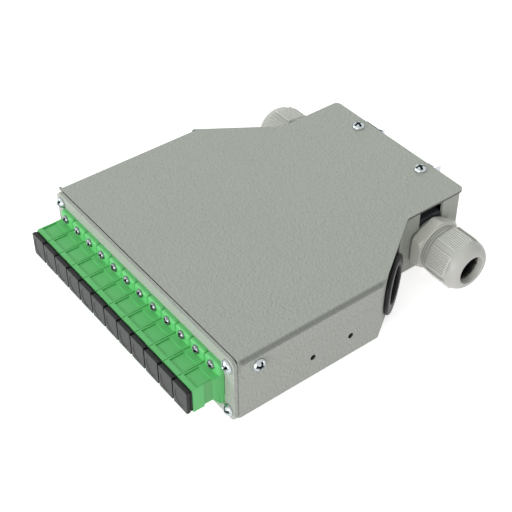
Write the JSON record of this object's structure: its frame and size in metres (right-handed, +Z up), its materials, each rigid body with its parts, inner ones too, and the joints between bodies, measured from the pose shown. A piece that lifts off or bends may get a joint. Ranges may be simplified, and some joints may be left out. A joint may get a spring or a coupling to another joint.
{
  "type": "din_rail_fibre_box",
  "caption": "Flat grey sheet steel fibre terminal box with a row of green simplex adapters, two cable glands, two rubber entries and a sprung rail clip",
  "frame": {"origin": "middle of the housing's bottom face", "axes": "X along the front panel, Y from the adapters to the rail clip, Z up through the thickness"},
  "size_m": [0.135, 0.1646, 0.0344],
  "materials": {
    "plate_steel": "fine grey powder coat, semi matt",
    "green_plastic": "moulded, slightly satin",
    "dark_cap": "moulded, matt",
    "grey_nylon": "moulded nylon, satin",
    "black_rubber": "matt",
    "zinc_steel": "bright zinc",
    "clip_steel": "plated",
    "ceramic": "polished ceramic",
    "tray_plastic": "moulded",
    "clear_plastic": "clear"
  },
  "bodies": {
    "housing": {"body_tray": "plate_steel", "cover": "plate_steel", "front_panel": "plate_steel", "adapter_01": "green_plastic", "adapter_02": "green_plastic", "adapter_03": "green_plastic", "adapter_04": "green_plastic", "adapter_05": "green_plastic", "adapter_06": "green_plastic", "adapter_07": "green_plastic", "adapter_08": "green_plastic", "adapter_09": "green_plastic", "adapter_10": "green_plastic", "adapter_11": "green_plastic", "adapter_12": "green_plastic", "alignment_sleeves": "ceramic", "adapter_screws": "zinc_steel", "panel_screws": "zinc_steel", "cover_top_screws": "zinc_steel", "cover_side_screws": "zinc_steel", "clip_screws": "zinc_steel", "tray_screws": "zinc_steel", "gland_body_left": "grey_nylon", "gland_locknut_left": "grey_nylon", "gland_seal_left": "black_rubber", "gland_washer_left": "black_rubber", "grommet_left": "black_rubber", "gland_body_right": "grey_nylon", "gland_locknut_right": "grey_nylon", "gland_seal_right": "black_rubber", "gland_washer_right": "black_rubber", "grommet_right": "black_rubber", "clip_base": "clip_steel", "latch_spring": "clip_steel", "tray_standoffs": "clip_steel", "splice_tray": "tray_plastic", "splice_holder": "tray_plastic", "tray_lid": "clear_plastic"},
    "cap_01": {"dust_cap_01": "dark_cap"},
    "cap_02": {"dust_cap_02": "dark_cap"},
    "cap_03": {"dust_cap_03": "dark_cap"},
    "cap_04": {"dust_cap_04": "dark_cap"},
    "cap_05": {"dust_cap_05": "dark_cap"},
    "cap_06": {"dust_cap_06": "dark_cap"},
    "cap_07": {"dust_cap_07": "dark_cap"},
    "cap_08": {"dust_cap_08": "dark_cap"},
    "cap_09": {"dust_cap_09": "dark_cap"},
    "cap_10": {"dust_cap_10": "dark_cap"},
    "cap_11": {"dust_cap_11": "dark_cap"},
    "cap_12": {"dust_cap_12": "dark_cap"},
    "nut_left": {"gland_nut_left": "grey_nylon"},
    "nut_right": {"gland_nut_right": "grey_nylon"},
    "latch": {"clip_latch": "clip_steel"}
  },
  "joints": [
    {"name": "cap_slide_01", "type": "slide", "parent": "housing", "child": "cap_01", "axis": [0, -1, 0], "range_m": [0, 0.008]},
    {"name": "cap_slide_02", "type": "slide", "parent": "housing", "child": "cap_02", "axis": [0, -1, 0], "range_m": [0, 0.008]},
    {"name": "cap_slide_03", "type": "slide", "parent": "housing", "child": "cap_03", "axis": [0, -1, 0], "range_m": [0, 0.008]},
    {"name": "cap_slide_04", "type": "slide", "parent": "housing", "child": "cap_04", "axis": [0, -1, 0], "range_m": [0, 0.008]},
    {"name": "cap_slide_05", "type": "slide", "parent": "housing", "child": "cap_05", "axis": [0, -1, 0], "range_m": [0, 0.008]},
    {"name": "cap_slide_06", "type": "slide", "parent": "housing", "child": "cap_06", "axis": [0, -1, 0], "range_m": [0, 0.008]},
    {"name": "cap_slide_07", "type": "slide", "parent": "housing", "child": "cap_07", "axis": [0, -1, 0], "range_m": [0, 0.008]},
    {"name": "cap_slide_08", "type": "slide", "parent": "housing", "child": "cap_08", "axis": [0, -1, 0], "range_m": [0, 0.008]},
    {"name": "cap_slide_09", "type": "slide", "parent": "housing", "child": "cap_09", "axis": [0, -1, 0], "range_m": [0, 0.008]},
    {"name": "cap_slide_10", "type": "slide", "parent": "housing", "child": "cap_10", "axis": [0, -1, 0], "range_m": [0, 0.008]},
    {"name": "cap_slide_11", "type": "slide", "parent": "housing", "child": "cap_11", "axis": [0, -1, 0], "range_m": [0, 0.008]},
    {"name": "cap_slide_12", "type": "slide", "parent": "housing", "child": "cap_12", "axis": [0, -1, 0], "range_m": [0, 0.008]},
    {"name": "nut_turn_left", "type": "hinge", "parent": "housing", "child": "nut_left", "pos_m": [-0.0572, 0.0521, 0.0132], "axis": [-1, 0, 0], "continuous": true},
    {"name": "nut_turn_right", "type": "hinge", "parent": "housing", "child": "nut_right", "pos_m": [0.0572, 0.0521, 0.0132], "axis": [1, 0, 0], "continuous": true},
    {"name": "latch_pull", "type": "slide", "parent": "housing", "child": "latch", "axis": [1, 0, 0], "range_m": [0, 0.004], "stiffness_N_per_m": 900, "springref_m": -0.003, "deforming": ["latch_spring"]}
  ]
}
